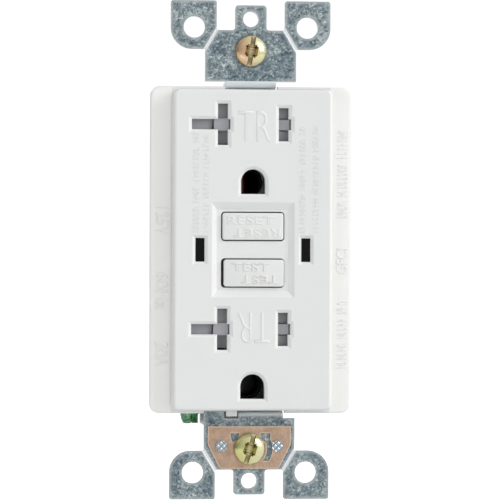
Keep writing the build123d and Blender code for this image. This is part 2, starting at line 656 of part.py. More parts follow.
def terminal_pocket(x_side, z, wall):
    """A terminal's recess in the side of the housing, or with wall, the plastic around it."""
    inner = POCKET_X - (POCKET_WALL if wall else 0)
    outer = HOUSING_HALF_X - (HOUSING_WALL if wall else -1)
    front = POCKET_Y[0] - (POCKET_WALL if wall else 0)
    back = FLOOR_Y if wall else POCKET_Y[1]
    half = POCKET_HALF_Z + (POCKET_WALL if wall else 0)
    return block(sorted((x_side * inner, x_side * outer)), (front, back), (z - half, z + half))


def rear_housing():
    half_x, half_z = HOUSING_HALF_X, HOUSING_HALF_Z
    shell = slab(RectangleRounded(2 * half_x, 2 * half_z, 1.0), PARTING_Y, REAR_Y)
    back_rim = shell.edges().filter_by_position(Axis.Y, REAR_Y - 0.01, REAR_Y + 0.01)
    shell = fillet(back_rim, 0.8)
    inner_x, inner_z = half_x - HOUSING_WALL, half_z - HOUSING_WALL
    shell -= block((-inner_x, inner_x), (PARTING_Y - 1, FLOOR_Y), (-inner_z, inner_z))
    inside = block((-inner_x - 0.1, inner_x + 0.1), (PARTING_Y, FLOOR_Y + 0.1), (-inner_z - 0.1, inner_z + 0.1))
    shell += ground_pocket(1.0) & inside
    shell -= ground_pocket(0)
    for x, z in ((sx, sz) for sx in (-1, 1) for sz in (-TERMINAL_Z, TERMINAL_Z)):
        shell += terminal_pocket(x, z, True)
        shell -= terminal_pocket(x, z, False)
        shell -= rod("x", 2.4, x * 10, x * 15, (TERMINAL_Y, z))
        strip = (22.7, 24.9) if z > 0 else (-24.9, -22.7)
        shell -= block(sorted((x * 11, x * 14)), (BUS_Y[0] - 0.1, BUS_Y[1] + 0.1), strip)
        for offset in (-WIRE_HOLE_DZ, WIRE_HOLE_DZ):
            shell -= rod("y", WIRE_HOLE_R, POCKET_Y[1] - 1, REAR_Y + 1, (x * WIRE_HOLE_X, z + offset))
    for x, z in ((sx * BOSS_X, sz * BOSS_Z) for sx in (-1, 1) for sz in (-1, 1)):
        shell += rod("y", BOSS_R, PARTING_Y, FLOOR_Y, (x, z))
        shell -= rod("y", 1.35, PARTING_Y - 1, REAR_Y + 1, (x, z))
        shell -= rod("y", 1.7, 24.5, REAR_Y + 1, (x, z))
    for x, z in ((-8, 28), (8, 28), (-8, -28), (8, -28)):
        shell += rod("y", 1.8, BOARD_Y[1], FLOOR_Y, (x, z))
    return shell


def housing_screws():
    """Four long screws from the rear through the housing into the cover's bosses."""
    def one(x, z):
        screw = rod("y", 1.15, -1.2, 24.6, (x, z)) + rod("y", 1.6, 24.6, 26.3, (x, z))
        slot = block((x - 0.3, x + 0.3), (25.6, 27), (z - 3, z + 3))
        return screw - slot
    return Compound(children=at_corners(BOSS_X, BOSS_Z, one))


# ---- Assembly ----------------------------------------------------------------------------
parts["front_cover"] = front_cover()
parts["light_pipes"] = Compound(children=[light_pipe(-LED_X), light_pipe(LED_X)])
parts["reset_button"] = reset_button()
parts["reset_pin"] = reset_pin()
parts["reset_spring"] = coil_spring("y", 1.3, 1.9, -0.95, 3.85, (0, RESET_Z))
parts["test_button"] = test_button()
parts["test_spring"] = coil_spring("y", 1.6, 2.2, -3.25, 3.85, (0, TEST_Z))
parts["test_leaf"] = test_leaf()
parts["mounting_strap"] = mounting_strap()
parts["ground_clip"] = ground_clip()
parts["strap_rivets"] = strap_rivets()
parts["shutter_springs"] = shutter_springs()
for name, row in zip(("upper", "lower"), OUTLET_Z):
    parts["shutter_" + name] = shutter(row)
    parts["arm_shutter_" + name] = arm_shutter(row)
    parts["shutter_plate_" + name] = shutter_plate(row)
    parts["ground_contact_" + name] = ground_contact(row)
for name, side, seat in (("upper", 1, -1.25), ("lower", -1, -1.55)):
    parts["box_screw_" + name] = box_screw(side, seat)
    parts["retaining_washer_" + name] = retaining_washer(side)

for pole, side in (("hot", 1), ("neutral", -1)):
    parts[pole + "_contact_frame"] = contact_frame(side)
    parts["line_terminal_" + pole] = line_terminal(side)
    clamp_x = sorted((side * CLAMP_X, side * (CLAMP_X + CLAMP_THICK)))
    seat = side * (CLAMP_X + CLAMP_THICK + CLEAR)
    for end, z in (("load", TERMINAL_Z), ("line", -TERMINAL_Z)):
        parts[f"screw_{end}_{pole}"] = terminal_screw(side * 11.6, seat, TERMINAL_Y, z)
        parts[f"clamp_{end}_{pole}"] = clamp_plate(clamp_x, TERMINAL_Y, z, 4.5)
parts["ground_screw"] = terminal_screw(-8.4, -11.85, GROUND_SCREW_Y, GROUND_SCREW_Z)
parts["ground_clamp"] = clamp_plate((-11.8, -10.6), GROUND_SCREW_Y, GROUND_SCREW_Z, 3.6)

parts["middle_frame"] = middle_frame()
parts["fixed_contact_rivets"] = contact_rivets(BUS_Y[1])
parts["moving_contact_rivets"] = contact_rivets(15.1)
parts["contact_bridges"] = contact_bridges()
parts["contact_carrier"] = contact_carrier()
parts["carrier_spring"] = coil_spring("y", 1.25, 1.8, 5.55, 15.15, (0, RESET_Z))
parts["latch_plate"] = latch_plate()
parts["coil_bobbin"] = coil_bobbin()
parts["coil_winding"] = coil_winding()
parts["coil_yoke"] = coil_yoke()
parts["trip_plunger"] = trip_plunger()
parts["plunger_spring"] = coil_spring("z", 0.8, 1.2, 18.05, 20.75, (0, COIL_Y))
parts["circuit_board"] = circuit_board()
parts["sensor_core"] = sensor_core()
parts["varistor"] = varistor()
parts["capacitors"] = capacitors()
parts["thyristor"] = thyristor()
parts["resistors"] = resistors()
parts["control_chip"] = control_chip()
parts["indicator_leds"] = Compound(children=[indicator_led(-LED_X), indicator_led(LED_X)])
parts["rear_housing"] = rear_housing()
parts["housing_screws"] = housing_screws()

os.makedirs("parts", exist_ok=True)
for name, shape in parts.items():
    export_step(shape, f"parts/{name}.step")
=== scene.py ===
"""Looks of a 20 A ground-fault receptacle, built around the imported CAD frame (metres)."""
import json
import math
import random

import bmesh
import bpy
from mathutils import Matrix, Vector


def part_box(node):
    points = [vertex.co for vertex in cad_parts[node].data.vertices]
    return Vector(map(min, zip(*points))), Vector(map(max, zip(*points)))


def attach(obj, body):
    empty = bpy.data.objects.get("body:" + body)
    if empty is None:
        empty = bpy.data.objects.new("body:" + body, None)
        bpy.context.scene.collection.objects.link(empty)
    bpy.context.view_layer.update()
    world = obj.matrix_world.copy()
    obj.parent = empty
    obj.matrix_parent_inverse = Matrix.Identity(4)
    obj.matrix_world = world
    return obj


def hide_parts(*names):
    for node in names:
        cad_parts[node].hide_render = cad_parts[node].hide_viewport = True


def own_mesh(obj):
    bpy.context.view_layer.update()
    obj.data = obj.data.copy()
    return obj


MM = 0.001
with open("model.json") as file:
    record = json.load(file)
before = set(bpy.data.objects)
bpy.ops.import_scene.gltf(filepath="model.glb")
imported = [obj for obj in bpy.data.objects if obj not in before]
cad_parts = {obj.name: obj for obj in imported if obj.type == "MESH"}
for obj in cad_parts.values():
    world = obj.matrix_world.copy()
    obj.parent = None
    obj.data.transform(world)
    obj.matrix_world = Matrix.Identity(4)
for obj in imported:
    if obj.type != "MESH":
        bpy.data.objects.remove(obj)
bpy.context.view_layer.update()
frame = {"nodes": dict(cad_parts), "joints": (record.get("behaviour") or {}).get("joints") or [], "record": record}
nodes = frame["nodes"]
scene = bpy.context.scene


# ---- Material helpers --------------------------------------------------------------------
class Paint:
    """A node material with object-space coordinates, built one node at a time."""

    def __init__(self, name):
        self.material = bpy.data.materials.new(name)
        self.material.use_nodes = True
        self.tree = self.material.node_tree
        self.tree.nodes.clear()
        self.output = self.add("ShaderNodeOutputMaterial")
        self.shader = self.add("ShaderNodeBsdfPrincipled")
        self.link(self.shader.outputs["BSDF"], self.output.inputs["Surface"])
        self.coords = self.add("ShaderNodeTexCoord").outputs["Object"]
        self.heights = []

    def add(self, kind, **settings):
        node = self.tree.nodes.new(kind)
        for key, value in settings.items():
            setattr(node, key, value)
        return node

    def link(self, start, end):
        self.tree.links.new(start, end)

    def set(self, **values):
        """Plain values straight on the shader's sockets."""
        for key, value in values.items():
            self.shader.inputs[key.replace("_", " ")].default_value = value

    def stretched(self, scale):
        """Coordinates scaled differently along each axis."""
        node = self.add("ShaderNodeMapping")
        node.inputs["Scale"].default_value = scale
        self.link(self.coords, node.inputs["Vector"])
        return node.outputs["Vector"]

    def noise(self, scale, detail=3.0, rough=0.5, distortion=0.0, at=None):
        node = self.add("ShaderNodeTexNoise")
        node.inputs["Scale"].default_value = scale
        node.inputs["Detail"].default_value = detail
        node.inputs["Roughness"].default_value = rough
        node.inputs["Distortion"].default_value = distortion
        self.link(at or self.coords, node.inputs["Vector"])
        return node.outputs["Fac"]

    def cells(self, scale, at):
        node = self.add("ShaderNodeTexVoronoi", feature="F1")
        node.inputs["Scale"].default_value = scale
        self.link(at, node.inputs["Vector"])
        return node.outputs["Color"]

    def ramp(self, value, *stops):
        """A colour or grey ramp: (position, colour or number) stops."""
        node = self.add("ShaderNodeValToRGB")
        elements = node.color_ramp.elements
        while len(elements) < len(stops):
            elements.new(0.5)
        for element, (position, colour) in zip(elements, stops):
            element.position = position
            colour = (colour,) * 3 if isinstance(colour, (int, float)) else colour
            element.color = (*colour, 1.0)
        self.link(value, node.inputs["Fac"])
        return node.outputs["Color"]

    def mix(self, factor, first, second):
        """One colour laid over another by a factor; each may be a socket or a plain value."""
        node = self.add("ShaderNodeMix", data_type="RGBA")
        for socket, value in ((node.inputs[0], factor), (node.inputs[6], first), (node.inputs[7], second)):
            if isinstance(value, bpy.types.NodeSocket):
                self.link(value, socket)
            elif isinstance(value, (int, float)):
                socket.default_value = value
            else:
                socket.default_value = (*value, 1.0)
        return node.outputs[2]

    def math(self, operation, first, second=0.0):
        node = self.add("ShaderNodeMath", operation=operation)
        for socket, value in zip(node.inputs, (first, second)):
            if isinstance(value, bpy.types.NodeSocket):
                self.link(value, socket)
            else:
                socket.default_value = value
        return node.outputs[0]

    def colour(self, value):
        self.link(value, self.shader.inputs["Base Color"])

    def rough(self, value, low, high):
        node = self.add("ShaderNodeMapRange")
        node.inputs["To Min"].default_value = low
        node.inputs["To Max"].default_value = high
        self.link(value, node.inputs["Value"])
        self.link(node.outputs["Result"], self.shader.inputs["Roughness"])

    def soft_edges(self, radius):
        """Rounds the look of sharp edges; the bump layers then sit on top."""
        node = self.add("ShaderNodeBevel", samples=4)
        node.inputs["Radius"].default_value = radius
        self.heights.append(node.outputs["Normal"])
        self.link(node.outputs["Normal"], self.shader.inputs["Normal"])

    def current_colour(self):
        return self.shader.inputs["Base Color"].links[0].from_socket

    def hidden(self, distance, dark_at, clear_at):
        """White where little light can reach within a distance, such as gaps and the inside."""
        node = self.add("ShaderNodeAmbientOcclusion", samples=4)
        node.inputs["Distance"].default_value = distance
        return self.ramp(node.outputs["AO"], (dark_at, 1.0), (clear_at, 0.0))

    def bump(self, height, strength, depth):
        """Adds a bump layer; layers chain in the order they are added."""
        node = self.add("ShaderNodeBump")
        node.inputs["Strength"].default_value = strength
        node.inputs["Distance"].default_value = depth
        self.link(height, node.inputs["Height"])
        if self.heights:
            self.link(self.heights[-1], node.inputs["Normal"])
        self.heights.append(node.outputs["Normal"])
        self.link(node.outputs["Normal"], self.shader.inputs["Normal"])


NECK_END_Z = 35.4 * MM       # where the upper neck meets the strap's flat end
INSIDE_END_Z = 32.0 * MM     # the strap within this height is closed in by the cover
FACE_HALF_WIDTH = 16.7 * MM  # beyond it the cover is flange
FLANGE_CROWN = -0.12         # how fast the flange falls away outwards, as a slope
BUTTON_CROWN = -14.0         # how much the buttons' faces curve across, per metre
# RIM_LEAN points towards the key light; rims that face it take the painted highlight
RIM_LEAN = (0.87, 0.0, 0.43)  # the way a rim has to face to look paler


def plastic(name, base, roughness=0.42, grain=0.35, variation=0.03):
    """Moulded plastic with a fine spark-eroded grain and faint flow variation."""
    paint = Paint(name)
    paint.soft_edges(0.00018)
    flow = paint.noise(90.0, 3.0, 0.55)
    darker = tuple(c * (1 - variation) for c in base)
    paint.colour(paint.mix(flow, darker, base))
    paint.rough(paint.noise(1400.0, 2.0), roughness - 0.06, roughness + 0.06)
    paint.bump(paint.noise(5200.0, 2.0, 0.6), grain, 0.000012)
    paint.bump(paint.noise(260.0, 2.0, 0.5), 0.25, 0.00003)
    paint.set(IOR=1.5)
    return paint


def metal(name, light, dark, roughness=0.35, streak=(300.0, 300.0, 300.0), depth=0.000008):
    """Rolled or turned metal: streaks in a chosen direction, dulled unevenly."""
    paint = Paint(name)
    paint.soft_edges(0.0001)
    lines = paint.noise(1.0, 4.0, 0.6, at=paint.stretched(streak))
    blotch = paint.noise(420.0, 3.0, 0.6)
    tone = paint.math("MULTIPLY", lines, 0.5)
    tone = paint.math("ADD", tone, paint.math("MULTIPLY", blotch, 0.5))
    paint.colour(paint.ramp(tone, (0.3, dark), (0.7, light)))
    paint.rough(blotch, roughness - 0.08, roughness + 0.1)
    paint.bump(lines, 0.4, depth)
    paint.set(Metallic=1.0)
    return paint


def lit_rims(paint):
    """Painted highlight and painted shade: paler where an edge rolls over towards the upper right, where the key
    light falls, and darker deep in the gaps.
    """
    bevel = paint.add("ShaderNodeBevel", samples=6)
    bevel.inputs["Radius"].default_value = 0.00035
    lean = paint.add("ShaderNodeVectorMath", operation="DOT_PRODUCT")
    lean.inputs[1].default_value = RIM_LEAN
    paint.link(bevel.outputs["Normal"], lean.inputs[0])
    rim = paint.ramp(lean.outputs["Value"], (0.10, 0.0), (0.50, 1.0))
    # Painted highlight on rims that lean towards the key light
    rim_highlighted = paint.mix(rim, paint.current_colour(), (0.985, 0.985, 0.975))
    # Painted shade: near black deep in the gaps, where ambient occlusion is low
    paint.colour(paint.mix(paint.hidden(0.0012, 0.12, 0.42), rim_highlighted, (0.10, 0.10, 0.095)))


def cover_white():
    """Cover plastic; the flange beyond the raised face is crowned, a little warmer, and painted paler to lift the
    shade that the raised face casts on it; rims take a painted highlight and gaps painted shade.
    """
    paint = plastic("cover_white", (0.80, 0.815, 0.81), 0.36)
    axes = paint.add("ShaderNodeSeparateXYZ")
    paint.link(paint.coords, axes.inputs[0])
    aside = paint.math("SUBTRACT", paint.math("ABSOLUTE", axes.outputs["X"]), FACE_HALF_WIDTH)
    beyond = paint.math("MAXIMUM", aside, 0.0)
    flange = paint.math("GREATER_THAN", aside, 0.0)
    # Painted light: the flange is made paler to make up for the shade the raised face casts on it
    paint.colour(paint.mix(flange, paint.current_colour(), (0.92, 0.92, 0.90)))
    lit_rims(paint)
    paint.bump(paint.math("MULTIPLY", beyond, FLANGE_CROWN), 1.0, 1.0)
    return paint.material


def button_white():
    """Button plastic, slightly crowned from side to side, with a painted rim highlight and painted shade in the
    gaps.
    """
    paint = plastic("button_white", (0.80, 0.81, 0.80), 0.36, 0.25)
    lit_rims(paint)
    axes = paint.add("ShaderNodeSeparateXYZ")
    paint.link(paint.coords, axes.inputs[0])
    crown = paint.math("MULTIPLY", axes.outputs["X"], axes.outputs["X"])
    paint.bump(paint.math("MULTIPLY", crown, BUTTON_CROWN), 1.0, 1.0)
    return paint.material


def housing_white():
    return plastic("housing_white", (0.68, 0.69, 0.68), 0.5, 0.6).material


def shutter_grey():
    return plastic("shutter_grey", (0.42, 0.42, 0.45), 0.5, 0.5, 0.15).material


def frame_black():
    return plastic("frame_black", (0.025, 0.025, 0.027), 0.45, 0.6, 0.3).material


def light_pipe():
    paint = plastic("light_pipe", (0.006, 0.006, 0.007), 0.25, 0.1, 0.3)
    paint.set(Specular_IOR_Level=0.12)
    return paint.material


def zinc_steel():
    """Galvanised sheet: fine blue-grey mottling with bright flecks and paler sheared edges; smooth where bent, with
    painted light making the bends, the upper neck and the scored faces pale, and painted shade on the strap inside
    the cover.
    """
    paint = Paint("zinc_steel")
    paint.soft_edges(0.0002)
    warp = paint.add("ShaderNodeTexNoise")
    warp.inputs["Scale"].default_value = 1300.0
    paint.link(paint.coords, warp.inputs["Vector"])
    small = paint.add("ShaderNodeVectorMath", operation="SCALE")
    small.inputs["Scale"].default_value = 0.0009
    paint.link(warp.outputs["Color"], small.inputs[0])
    wander = paint.add("ShaderNodeVectorMath", operation="ADD")
    paint.link(paint.coords, wander.inputs[0])
    paint.link(small.outputs[0], wander.inputs[1])
    grains = paint.add("ShaderNodeSeparateColor")
    paint.link(paint.cells(2300.0, at=wander.outputs[0]), grains.inputs[0])
    patches = paint.noise(300.0, 3.0, 0.6)
    flecks = paint.noise(1500.0, 5.0, 0.8, 0.9)
    tone = paint.math("MULTIPLY", grains.outputs[0], 0.16)
    tone = paint.math("ADD", tone, paint.math("MULTIPLY", flecks, 0.80))
    tone = paint.math("ADD", tone, paint.math("MULTIPLY", patches, 0.30))
    mottle = paint.ramp(tone, (0.47, (0.075, 0.115, 0.15)), (0.58, (0.17, 0.225, 0.26)),
                        (0.67, (0.29, 0.355, 0.37)), (0.80, (0.72, 0.78, 0.78)))
    rimmed = paint.mix(paint.math("MULTIPLY", edge_mask(paint, 0.0011), 0.85), mottle, (0.50, 0.55, 0.56))
    neck, scored, inside = smooth_and_lit_places(paint)
    # Painted light: faces turned from the front and the whole upper neck are painted pale where light and the white
    # cover's reflection fall; the scored faces are painted near white as a highlight
    smooth = paint.mix(scored, paint.mix(neck, rimmed, (0.90, 0.95, 0.97)), (0.95, 0.97, 0.98))
    # Painted shade: the strap inside the cover goes near black where ambient occlusion is low
    shaded = paint.math("MULTIPLY", inside, paint.hidden(0.012, 0.22, 0.48))
    paint.colour(paint.mix(shaded, smooth, (0.01, 0.01, 0.012)))
    paint.rough(flecks, 0.40, 0.60)
    paint.bump(flecks, 0.30, 0.00002)
    paint.bump(grains.outputs[1], 0.12, 0.00001)
    paint.set(Metallic=0.7)
    return paint.material


def edge_mask(paint, radius):
    """White within a radius of a sharp edge, from how far a bevelled normal leaves the true one."""
    bevel = paint.add("ShaderNodeBevel", samples=6)
    bevel.inputs["Radius"].default_value = radius
    geometry = paint.add("ShaderNodeNewGeometry")
    dot = paint.add("ShaderNodeVectorMath", operation="DOT_PRODUCT")
    paint.link(bevel.outputs["Normal"], dot.inputs[0])
    paint.link(geometry.outputs["True Normal"], dot.inputs[1])
    return paint.ramp(dot.outputs["Value"], (0.975, 1.0), (0.9995, 0.0))


def smooth_and_lit_places(paint):
    """Masks for the painted light on the bends and necks that lead into the cover, the painted highlight on the
    scored and cut faces beyond, and the painted shade inside.
    """
    geometry = paint.add("ShaderNodeNewGeometry")
    axes = paint.add("ShaderNodeSeparateXYZ")
    paint.link(geometry.outputs["True Normal"], axes.inputs[0])
    turned = paint.ramp(paint.math("ABSOLUTE", axes.outputs["Y"]), (0.90, 1.0), (0.995, 0.0))
    place = paint.add("ShaderNodeSeparateXYZ")
    paint.link(paint.coords, place.inputs[0])
    neck = paint.math("GREATER_THAN", place.outputs["Z"], 0.0)
    neck = paint.math("MULTIPLY", neck, paint.math("LESS_THAN", place.outputs["Z"], NECK_END_Z))
    beyond = paint.math("GREATER_THAN", paint.math("ABSOLUTE", place.outputs["Z"]), 1.02 * NECK_END_Z)
    inside = paint.math("LESS_THAN", paint.math("ABSOLUTE", place.outputs["Z"]), INSIDE_END_Z)
    return paint.math("MAXIMUM", turned, neck), paint.math("MULTIPLY", turned, beyond), inside


def copper():
    """Brushed copper sheet, speckled and brighter along its cut edges."""
    paint = metal("copper", (0.80, 0.58, 0.44), (0.46, 0.31, 0.21), 0.42, (900.0, 300.0, 700.0))
    brushed = paint.noise(1.0, 3.0, 0.7, at=paint.stretched((2600.0, 900.0, 1300.0)))
    grain = paint.ramp(brushed, (0.40, 0.0), (0.62, 0.5))
    speckled = paint.mix(grain, paint.current_colour(), (0.50, 0.36, 0.26))
    paint.colour(paint.mix(edge_mask(paint, 0.0004), speckled, (0.92, 0.72, 0.56)))
    return paint.material


def chromate():
    """Yellow chromate plate, its own tint running peach, green and straw; laid left to right across each head it is
    also painted light: peach or green to the left as a painted reflection, straw to the right as a painted
    highlight; the recesses take painted shade.
    """
    paint = Paint("chromate")
    axes = paint.add("ShaderNodeSeparateXYZ")
    paint.link(paint.coords, axes.inputs[0])
    fine = paint.noise(2600.0, 3.0, 0.6)
    drift = paint.math("MULTIPLY", paint.noise(500.0, 2.0, 0.5, 0.6), 0.5)
    across = paint.math("ADD", paint.math("MULTIPLY", axes.outputs["X"], 150.0), drift)
    # Painted reflection and highlight: straw towards +X, where the key light falls, peach or green towards -X
    side = paint.ramp(across, (0.0, 0.0), (0.45, 1.0))
    upper = paint.math("GREATER_THAN", axes.outputs["Z"], 0.0)
    left = paint.mix(upper, (0.80, 0.78, 0.36), (0.95, 0.66, 0.42))
    tint_and_painted_light = paint.mix(side, left, (0.95, 0.91, 0.56))
    # Painted shade: dark brown where the slot and cross recess close in
    recess = paint.add("ShaderNodeAmbientOcclusion", samples=6)
    recess.inputs["Distance"].default_value = 0.0010
    tint_and_painted_light = paint.mix(paint.ramp(recess.outputs["AO"], (0.60, 1.0), (0.90, 0.0)), tint_and_painted_light, (0.10, 0.065, 0.02))
    paint.colour(paint.mix(paint.ramp(fine, (0.35, 0.0), (0.8, 0.3)), tint_and_painted_light, (0.60, 0.48, 0.24)))
    paint.rough(fine, 0.14, 0.30)
    paint.bump(fine, 0.2, 0.000008)
    paint.set(Metallic=1.0)
    return paint.material


def brass():
    return metal("brass", (0.80, 0.60, 0.28), (0.58, 0.40, 0.16), 0.3, (500.0, 500.0, 500.0)).material


def plain_steel():
    return metal("plain_steel", (0.70, 0.71, 0.72), (0.42, 0.43, 0.44), 0.3, (700.0, 700.0, 700.0)).material


def rivet_steel():
    """Bright zinc with the cross-hatching that the rivet punch leaves."""
    paint = metal("rivet_steel", (0.78, 0.82, 0.84), (0.50, 0.56, 0.60), 0.28, (700.0, 700.0, 700.0))
    across = paint.add("ShaderNodeTexWave", wave_type="BANDS", bands_direction="DIAGONAL")
    back = paint.add("ShaderNodeTexWave", wave_type="BANDS", bands_direction="DIAGONAL")
    for node, scale in ((across, (520.0, 0.0, 520.0)), (back, (520.0, 0.0, -520.0))):
        node.inputs["Scale"].default_value = 1.0
        paint.link(paint.stretched(scale), node.inputs["Vector"])
    lines = paint.math("MINIMUM", across.outputs["Fac"], back.outputs["Fac"])
    paint.colour(paint.mix(paint.ramp(lines, (0.05, 0.8), (0.30, 0.0)), paint.current_colour(), (0.20, 0.30, 0.36)))
    paint.bump(lines, 0.8, 0.00012)
    return paint.material


def contact_bronze():
    """Bronze painted near black, as painted shade deep inside the ground openings."""
    paint = metal("contact_bronze", (0.030, 0.023, 0.017), (0.012, 0.009, 0.007), 0.6)
    paint.set(Metallic=0.4)
    return paint.material


def spring_steel():
    return metal("spring_steel", (0.62, 0.62, 0.62), (0.35, 0.35, 0.36), 0.28, (900.0, 900.0, 900.0)).material


def green_zinc():
    """Green-dyed zinc plate with a painted blue-grey sheen in random patches."""
    paint = Paint("green_zinc")
    sheen_patches = paint.noise(380.0, 4.0, 0.65, 0.5)
    fine = paint.noise(2200.0, 3.0, 0.6)
    # Painted sheen: the palest stop is a blue-grey reflection laid in random patches
    paint.colour(paint.ramp(sheen_patches, (0.34, (0.012, 0.05, 0.02)), (0.48, (0.05, 0.20, 0.07)),
                            (0.60, (0.20, 0.42, 0.24)), (0.72, (0.52, 0.64, 0.62))))
    paint.rough(fine, 0.22, 0.42)
    paint.bump(fine, 0.25, 0.00001)
    paint.set(Metallic=0.9)
    return paint.material


def silver_contact():
    return metal("silver_contact", (0.86, 0.85, 0.83), (0.62, 0.61, 0.60), 0.25).material


def coil_copper():
    # Enamelled wire's own red-brown, made darker still as painted shade where it shows through the ground opening
    paint = metal("coil_copper", (0.26, 0.075, 0.03), (0.12, 0.03, 0.012), 0.3, (200.0, 200.0, 9000.0))
    paint.set(Coat_Weight=0.5)
    return paint.material


def fibre():
    """Pressed fibreboard: tangled short fibres."""
    paint = Paint("fibre")
    fibres = paint.noise(1.0, 5.0, 0.7, 0.8, at=paint.stretched((900.0, 2400.0, 500.0)))
    paint.colour(paint.ramp(fibres, (0.3, (0.42, 0.30, 0.16)), (0.7, (0.66, 0.53, 0.34))))
    paint.rough(fibres, 0.7, 0.9)
    paint.bump(fibres, 0.6, 0.00003)
    return paint.material


def board_green():
    """Solder mask over a woven board."""
    paint = Paint("board_green")
    weave = paint.add("ShaderNodeTexChecker")
    weave.inputs["Scale"].default_value = 1600.0
    paint.link(paint.coords, weave.inputs["Vector"])
    cloud = paint.noise(160.0, 3.0)
    base = paint.ramp(cloud, (0.3, (0.015, 0.11, 0.04)), (0.7, (0.03, 0.17, 0.07)))
    paint.colour(paint.mix(paint.math("MULTIPLY", weave.outputs["Fac"], 0.15), base, (0.05, 0.24, 0.10)))
    paint.rough(cloud, 0.28, 0.4)
    paint.set(Coat_Weight=0.3)
    return paint.material


def dipped(name, base):
    """A component's lacquered or moulded coat."""
    paint = plastic(name, base, 0.3, 0.2, 0.2)
    paint.set(Coat_Weight=0.4)
    return paint.material


def led_clear():
    paint = plastic("led_clear", (0.62, 0.72, 0.62), 0.15, 0.05, 0.1)
    paint.set(Transmission_Weight=0.6)
    return paint.material


MAKERS = {
    "cover_white": cover_white, "button_white": button_white, "housing_white": housing_white,
    "shutter_grey": shutter_grey, "frame_black": frame_black, "light_pipe": light_pipe,
    "zinc_steel": zinc_steel, "plain_steel": plain_steel, "spring_steel": spring_steel,
    "copper": copper, "chromate": chromate, "brass": brass, "green_zinc": green_zinc,
    "rivet_steel": rivet_steel, "contact_bronze": contact_bronze, "silver_contact": silver_contact,
    "coil_copper": coil_copper, "fibre": fibre, "board_green": board_green, "led_clear": led_clear,
    "component_black": lambda: dipped("component_black", (0.02, 0.02, 0.022)),
    "component_blue": lambda: dipped("component_blue", (0.02, 0.10, 0.36)),
    "component_tan": lambda: dipped("component_tan", (0.55, 0.36, 0.15)),
}
finishes = {name: make() for name, make in MAKERS.items()}


def paint_cad_nodes():
    """Every carried-over CAD node takes the finish of its material slot."""
    for part in frame["record"]["subparts"]:
        node = nodes[part["node"]]
        node.data.materials.clear()
        node.data.materials.append(finishes[part["material_slot"]])


paint_cad_nodes()


# ---- Mesh helpers --------------------------------------------------------------------------
def add_piece(name, mesh, slot, body, hides=()):
    """A new piece in the row frame, with its finish, the body it rides on and the nodes it stands for."""
    piece = bpy.data.objects.new(name, mesh)
    scene.collection.objects.link(piece)
    mesh.materials.clear()
    mesh.materials.append(finishes[slot])
    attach(piece, body)
    if hides:
        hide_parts(*hides)
    return piece


def to_mesh(bm, name, crease=35.0):
    """The finished mesh, smooth but for edges sharper than the crease angle in degrees."""
    bmesh.ops.recalc_face_normals(bm, faces=bm.faces)
    mesh = bpy.data.meshes.new(name)
    bm.to_mesh(mesh)
    bm.free()
    mesh.polygons.foreach_set("use_smooth", [True] * len(mesh.polygons))
    mesh.set_sharp_from_angle(angle=math.radians(crease))
    return mesh


def lathe(bm, profile, segments=64):
    """A closed solid turned about Z from (radius, height) points that start and end on the axis."""
    rings = []
    for radius, height in profile:
        if radius < 1e-9:
            rings.append([bm.verts.new((0, 0, height))])
            continue
        turn = [2 * math.pi * k / segments for k in range(segments)]
        rings.append([bm.verts.new((radius * math.cos(t), radius * math.sin(t), height)) for t in turn])
    for low, high in zip(rings, rings[1:]):
        for k in range(segments):
            corners = [low[k % len(low)], low[(k + 1) % len(low)], high[(k + 1) % len(high)], high[k % len(high)]]
            bm.faces.new(list(dict.fromkeys(corners)))
    return bm


def wind(bm, radius, profile, start, end, turns, steps=24, closed_ends=0.0):
    """A profile of (outward, along) offsets wound about Z: a spring's wire or a screw's thread.

    closed_ends above zero slows the rise at both ends, as in a spring with closed coils.
    """
    count = int(turns * steps)
    rings = []
    for k in range(count + 1):
        share = k / count
        angle = 2 * math.pi * turns * share
        eased = share - closed_ends * math.sin(2 * math.pi * share) / (2 * math.pi)
        height = start + (end - start) * eased
        ring = []
        for outward, along in profile:
            reach = radius + outward
            ring.append(bm.verts.new((reach * math.cos(angle), reach * math.sin(angle), height + along)))
        rings.append(ring)
    for one, two in zip(rings, rings[1:]):
        for k in range(len(profile)):
            m = (k + 1) % len(profile)
            bm.faces.new((one[k], one[m], two[m], two[k]))
    bm.faces.new(rings[0])
    bm.faces.new(rings[-1])
    return bm


def carve(mesh, cutter):
    """The mesh with the cutter's volume taken out."""
    body = bpy.data.objects.new("body", mesh)
    tool = bpy.data.objects.new("tool", cutter)
    for each in (body, tool):
        scene.collection.objects.link(each)
    cut = body.modifiers.new("cut", "BOOLEAN")
    cut.operation = "DIFFERENCE"
    cut.solver = "EXACT"
    cut.object = tool
    result = bpy.data.meshes.new_from_object(body.evaluated_get(bpy.context.evaluated_depsgraph_get()))
    bpy.data.objects.remove(body)
    bpy.data.objects.remove(tool)
    return result


def along(axis, place, turn=0.0):
    """A matrix that sends the Z axis to axis at place, after a turn about it."""
    aim = Vector(axis).to_track_quat("Z", "Y").to_matrix().to_4x4()
    return Matrix.Translation(place) @ aim @ Matrix.Rotation(turn, 4, "Z")


# ---- Screws --------------------------------------------------------------------------------
THREAD_PITCH = 0.794 * MM
THREAD_DEPTH = 0.34 * MM
THREAD_CREST, THREAD_FOOT = 0.05 * MM, 0.36 * MM      # half widths of the ridge at its top and foot
HEAD_STEPS = 14                                       # rings of a head's dome
BOX_HEAD_R, BOX_HEAD_HEIGHT = 3.35 * MM, 1.9 * MM
TERMINAL_HEAD_R, TERMINAL_HEAD_HEIGHT = 3.9 * MM, 2.2 * MM


